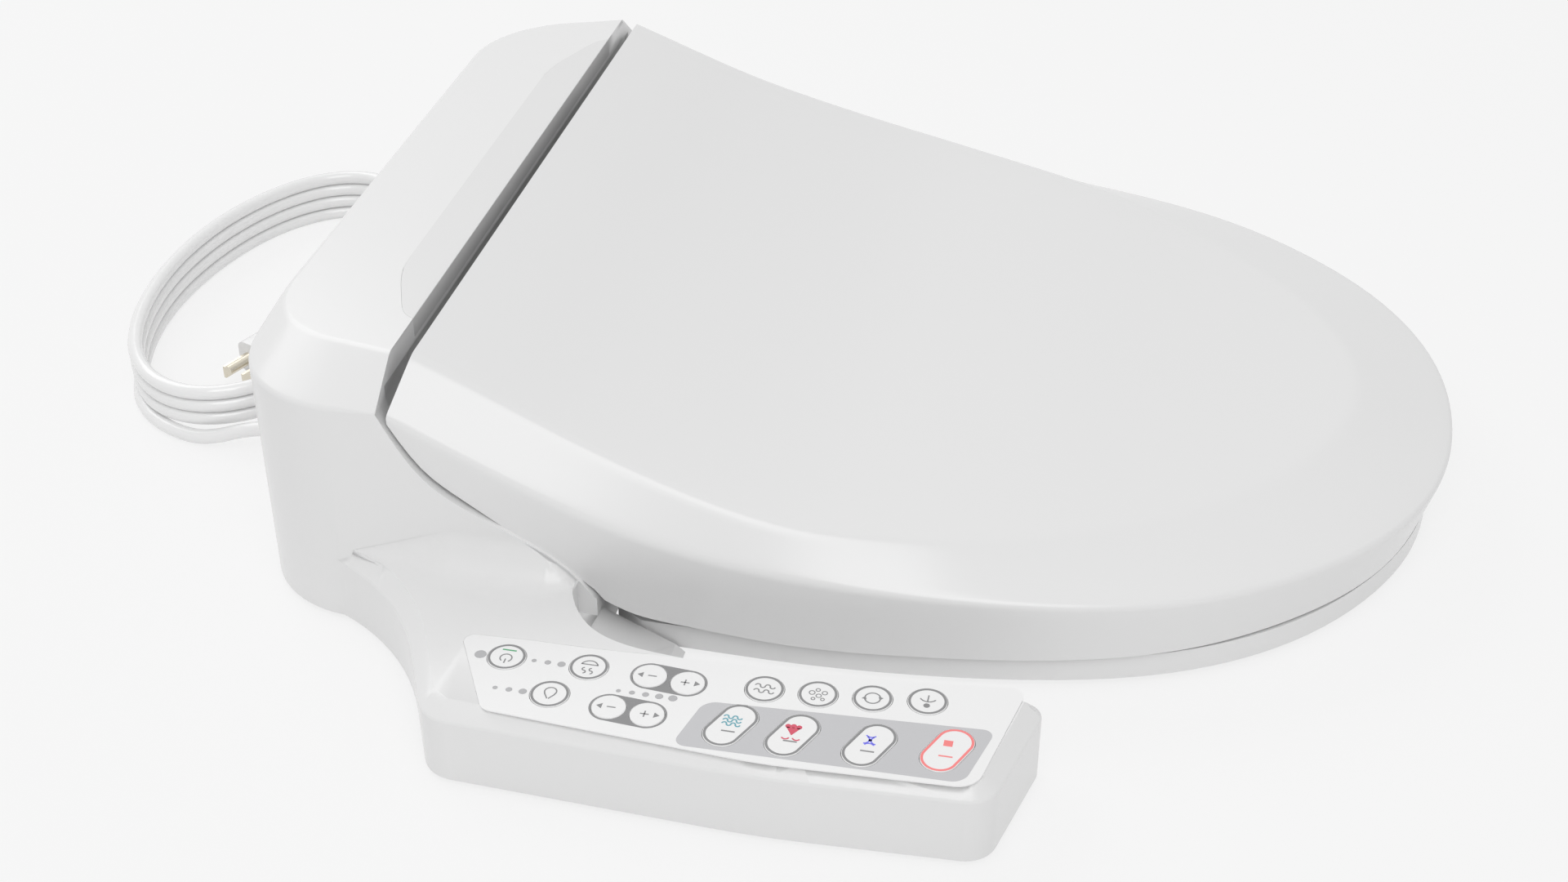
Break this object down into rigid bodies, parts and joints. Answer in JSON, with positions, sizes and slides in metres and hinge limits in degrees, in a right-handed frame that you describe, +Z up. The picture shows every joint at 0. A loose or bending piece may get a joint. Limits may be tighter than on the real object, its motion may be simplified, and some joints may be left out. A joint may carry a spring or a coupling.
{
  "type": "electric bidet seat",
  "caption": "Electric bidet toilet seat with sloping D-shaped lid, heated seat ring, rear housing, side control arm with keys, two sliding nozzles, air dryer and coiled mains lead.",
  "frame": {"origin": "midway between the two bowl bolt slots, on the resting plane of the underside", "axes": "+Z up, -Y towards the front tip of the seat, +X towards the sitting user's left; the control arm is on the -X side"},
  "size_m": [0.4944, 0.6448, 0.1235],
  "materials": {
    "shell_white": "glossy off-white injection-moulded plastic",
    "lens_white": "glossy, very slightly grey",
    "overlay_white": "matt printed film",
    "lights": "dark grey light windows",
    "pan_grey": "light grey moulded plastic",
    "rubber_white": "soft white rubber",
    "board_green": "green circuit board",
    "valve_brass": "plain brass",
    "foil": "heating foil",
    "steel": "stainless steel",
    "tip_white": "glossy white",
    "fan_black": "black fan wheel",
    "button_grey": "light grey",
    "key_white": "matt white key caps",
    "cord_white": "white cord sheath and moulded plug",
    "pin_brass": "brass plug pins"
  },
  "bodies": {
    "base": {"top_cover": "shell_white", "base_pan": "pan_grey", "base_feet": "rubber_white", "arm_tray": "shell_white", "mounting_plate": "pan_grey", "display_lens": "lens_white", "control_overlay": "overlay_white", "panel_lights": "lights", "panel_board": "board_green", "main_board": "board_green", "heater_tank": "pan_grey", "solenoid_valve": "valve_brass", "water_inlet": "valve_brass", "drain_cap": "pan_grey", "nozzle_bay": "pan_grey", "nozzle_guard": "pan_grey", "blower_housing": "pan_grey", "dryer_duct": "pan_grey", "hinge_pins": "steel", "seat_damper": "pan_grey", "lid_damper": "pan_grey", "cord_gland": "cord_white", "cord_lead": "cord_white", "cord_coil": "cord_white", "cord_tail": "cord_white", "plug_body": "cord_white", "plug_pins": "pin_brass"},
    "seat": {"seat_upper": "shell_white", "seat_lower": "shell_white", "seat_heater": "foil", "seat_bumpers": "rubber_white"},
    "lid": {"lid_shell": "shell_white", "lid_bumpers": "rubber_white"},
    "wash_nozzle_body": {"wash_nozzle": "steel", "wash_nozzle_tip": "tip_white"},
    "bidet_nozzle_body": {"bidet_nozzle": "steel", "bidet_nozzle_tip": "tip_white"},
    "flap": {"dryer_flap": "pan_grey"},
    "fan": {"blower_wheel": "fan_black"},
    "release": {"release_button": "button_grey"},
    "key_power_body": {"key_power": "key_white"},
    "key_seat_heat_body": {"key_seat_heat": "key_white"},
    "key_water_heat_body": {"key_water_heat": "key_white"},
    "key_massage_body": {"key_massage": "key_white"},
    "key_aerated_body": {"key_aerated": "key_white"},
    "key_auto_body": {"key_auto": "key_white"},
    "key_kids_body": {"key_kids": "key_white"},
    "key_dry_body": {"key_dry": "key_white"},
    "key_bidet_body": {"key_bidet": "key_white"},
    "key_wash_body": {"key_wash": "key_white"},
    "key_stop_body": {"key_stop": "key_white"},
    "key_pressure_low_body": {"key_pressure_low": "key_white"},
    "key_pressure_high_body": {"key_pressure_high": "key_white"},
    "key_nozzle_back_body": {"key_nozzle_back": "key_white"},
    "key_nozzle_front_body": {"key_nozzle_front": "key_white"}
  },
  "joints": [
    {"name": "seat_lift", "type": "hinge", "parent": "base", "child": "seat", "pos_m": [0, -0.0484, 0.104], "axis": [-1, 0, 0], "range_deg": [0, 97]},
    {"name": "lid_lift", "type": "hinge", "parent": "seat", "child": "lid", "pos_m": [0, -0.0484, 0.104], "axis": [1, 0, 0], "range_deg": [-105, 0]},
    {"name": "wash_nozzle_slide", "type": "slide", "parent": "base", "child": "wash_nozzle_body", "axis": [0, -0.891, -0.454], "range_m": [0, 0.092]},
    {"name": "bidet_nozzle_slide", "type": "slide", "parent": "base", "child": "bidet_nozzle_body", "axis": [0, -0.891, -0.454], "range_m": [0, 0.092]},
    {"name": "dryer_flap_swing", "type": "hinge", "parent": "base", "child": "flap", "pos_m": [0.062, -0.1139, 0.0335], "axis": [-1, 0, 0], "range_deg": [0, 70]},
    {"name": "blower_spin", "type": "hinge", "parent": "base", "child": "fan", "pos_m": [0.112, -0.014, 0.044], "axis": [1, 0, 0], "continuous": true},
    {"name": "release_press", "type": "slide", "parent": "base", "child": "release", "axis": [-1, 0, 0], "range_m": [0, 0.003], "stiffness_N_per_m": 600, "springref_m": -0.001},
    {"name": "key_power_press", "type": "slide", "parent": "base", "child": "key_power_body", "axis": [0, 0, -1], "range_m": [0, 0.0004], "stiffness_N_per_m": 2500, "springref_m": -0.0001},
    {"name": "key_seat_heat_press", "type": "slide", "parent": "base", "child": "key_seat_heat_body", "axis": [0, 0, -1], "range_m": [0, 0.0004], "stiffness_N_per_m": 2500, "springref_m": -0.0001},
    {"name": "key_water_heat_press", "type": "slide", "parent": "base", "child": "key_water_heat_body", "axis": [0, 0, -1], "range_m": [0, 0.0004], "stiffness_N_per_m": 2500, "springref_m": -0.0001},
    {"name": "key_massage_press", "type": "slide", "parent": "base", "child": "key_massage_body", "axis": [0, 0, -1], "range_m": [0, 0.0004], "stiffness_N_per_m": 2500, "springref_m": -0.0001},
    {"name": "key_aerated_press", "type": "slide", "parent": "base", "child": "key_aerated_body", "axis": [0, 0, -1], "range_m": [0, 0.0004], "stiffness_N_per_m": 2500, "springref_m": -0.0001},
    {"name": "key_auto_press", "type": "slide", "parent": "base", "child": "key_auto_body", "axis": [0, 0, -1], "range_m": [0, 0.0004], "stiffness_N_per_m": 2500, "springref_m": -0.0001},
    {"name": "key_kids_press", "type": "slide", "parent": "base", "child": "key_kids_body", "axis": [0, 0, -1], "range_m": [0, 0.0004], "stiffness_N_per_m": 2500, "springref_m": -0.0001},
    {"name": "key_dry_press", "type": "slide", "parent": "base", "child": "key_dry_body", "axis": [0, 0, -1], "range_m": [0, 0.0004], "stiffness_N_per_m": 2500, "springref_m": -0.0001},
    {"name": "key_bidet_press", "type": "slide", "parent": "base", "child": "key_bidet_body", "axis": [0, 0, -1], "range_m": [0, 0.0004], "stiffness_N_per_m": 2500, "springref_m": -0.0001},
    {"name": "key_wash_press", "type": "slide", "parent": "base", "child": "key_wash_body", "axis": [0, 0, -1], "range_m": [0, 0.0004], "stiffness_N_per_m": 2500, "springref_m": -0.0001},
    {"name": "key_stop_press", "type": "slide", "parent": "base", "child": "key_stop_body", "axis": [0, 0, -1], "range_m": [0, 0.0004], "stiffness_N_per_m": 2500, "springref_m": -0.0001},
    {"name": "key_pressure_low_press", "type": "slide", "parent": "base", "child": "key_pressure_low_body", "axis": [0, 0, -1], "range_m": [0, 0.0004], "stiffness_N_per_m": 2500, "springref_m": -0.0001},
    {"name": "key_pressure_high_press", "type": "slide", "parent": "base", "child": "key_pressure_high_body", "axis": [0, 0, -1], "range_m": [0, 0.0004], "stiffness_N_per_m": 2500, "springref_m": -0.0001},
    {"name": "key_nozzle_back_press", "type": "slide", "parent": "base", "child": "key_nozzle_back_body", "axis": [0, 0, -1], "range_m": [0, 0.0004], "stiffness_N_per_m": 2500, "springref_m": -0.0001},
    {"name": "key_nozzle_front_press", "type": "slide", "parent": "base", "child": "key_nozzle_front_body", "axis": [0, 0, -1], "range_m": [0, 0.0004], "stiffness_N_per_m": 2500, "springref_m": -0.0001}
  ]
}
